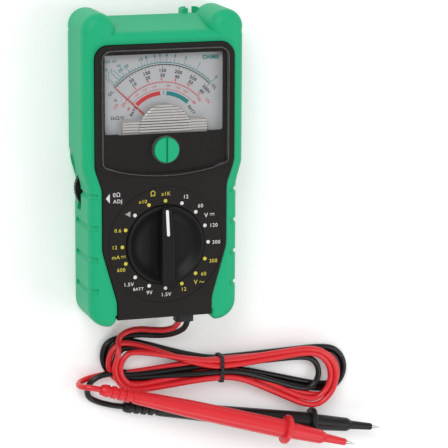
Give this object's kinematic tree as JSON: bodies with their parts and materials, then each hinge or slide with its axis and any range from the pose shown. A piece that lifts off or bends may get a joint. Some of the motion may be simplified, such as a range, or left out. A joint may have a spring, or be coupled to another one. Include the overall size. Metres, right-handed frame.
{
  "type": "analog multimeter",
  "caption": "Pocket moving-needle meter in a rubber holster: rotary range knob, zero adjusters, captive test leads and probes.",
  "frame": {"origin": "centre of the meter's footprint on the surface it lies on, without its leads and probes", "axes": "the meter lies on its back: +Z out of the dial face, +Y from the knob towards the dial end, +X to the right as the dial is read"},
  "size_m": [0.1551, 0.2144, 0.0398],
  "materials": {
    "holster_green": "satin",
    "case_black": "satin",
    "clear_window": "clear",
    "dial_silver": "satin painted",
    "cover_silver": "metallic",
    "needle_red": "painted",
    "copper_wire": "enamelled wire",
    "magnet_grey": "plain",
    "steel": "zinc plated",
    "die_cast": "cast",
    "brass": "plain",
    "knob_black": "satin",
    "screw_green": "satin",
    "pointer_white": "gloss",
    "rotor_white": "moulded",
    "board_tan": "laminate",
    "resistor_beige": "lacquered",
    "clear_glass": "clear",
    "capacitor_blue": "sleeved",
    "pot_blue": "moulded",
    "cell_wrap": "printed wrap",
    "gland_rubber": "matte",
    "lead_red": "gloss",
    "lead_black": "gloss",
    "tie_black": "matte",
    "probe_red": "gloss",
    "probe_black": "gloss",
    "probe_steel": "plated"
  },
  "bodies": {
    "meter": {"holster": "holster_green", "rear_case": "case_black", "front_case": "case_black", "window_cover": "clear_window", "case_screws": "steel", "dial_plate": "dial_silver", "movement_cover": "cover_silver", "core_magnet": "magnet_grey", "yoke_ring": "steel", "movement_frame": "die_cast", "upper_bridge": "die_cast", "jewel_screws": "brass", "upper_hairspring": "brass", "lower_hairspring": "brass", "circuit_board": "board_tan", "resistors": "resistor_beige", "diodes": "clear_glass", "capacitor": "capacitor_blue", "buzzer": "case_black", "fuse": "clear_glass", "fuse_clips": "steel", "adjust_pot": "pot_blue", "battery_cell": "cell_wrap", "battery_contacts": "steel", "lead_gland": "gland_rubber", "red_lead": "lead_red", "black_lead": "lead_black", "red_lead_tail": "lead_red", "black_lead_tail": "lead_black", "lead_hank": "lead_black", "twist_tie": "tie_black", "red_probe_boot": "probe_red", "red_probe_handle": "probe_red", "red_probe_tip": "probe_steel", "black_probe_boot": "probe_black", "black_probe_handle": "probe_black", "black_probe_tip": "probe_steel"},
    "range_switch": {"range_knob": "knob_black", "knob_pointer": "pointer_white", "switch_rotor": "rotor_white", "wiper_contacts": "brass", "detent_balls": "steel", "detent_springs": "steel"},
    "pointer_movement": {"needle": "needle_red", "moving_coil": "copper_wire"},
    "zero_adjuster": {"zero_screw": "screw_green"},
    "zero_arm": {"zero_lever": "brass"},
    "ohm_adjuster": {"ohm_adjust_wheel": "knob_black"}
  },
  "joints": [
    {"name": "range_turn", "type": "hinge", "parent": "meter", "child": "range_switch", "pos_m": [0, -0.034, 0.031], "axis": [0, 0, 1], "continuous": true},
    {"name": "needle_swing", "type": "hinge", "parent": "meter", "child": "pointer_movement", "pos_m": [0, 0.0175, 0.03], "axis": [0, 0, -1], "range_deg": [-2, 96], "stiffness_Nm_per_rad": 0.00002, "deforming": ["upper_hairspring", "lower_hairspring"]},
    {"name": "zero_turn", "type": "hinge", "parent": "meter", "child": "zero_adjuster", "pos_m": [0, 0.01, 0.0335], "axis": [0, 0, 1], "range_deg": [-30, 30]},
    {"name": "zero_arm_swing", "type": "hinge", "parent": "meter", "child": "zero_arm", "pos_m": [0, 0.0175, 0.0287], "axis": [0, 0, 1], "range_deg": [-6, 6]},
    {"name": "ohm_wheel_turn", "type": "hinge", "parent": "meter", "child": "ohm_adjuster", "pos_m": [-0.026, -0.01, 0.0131], "axis": [0, 0, 1], "range_deg": [-135, 135]}
  ],
  "couplings": [
    {"joint": "zero_arm_swing", "follows": "zero_turn", "ratio": -0.18}
  ]
}
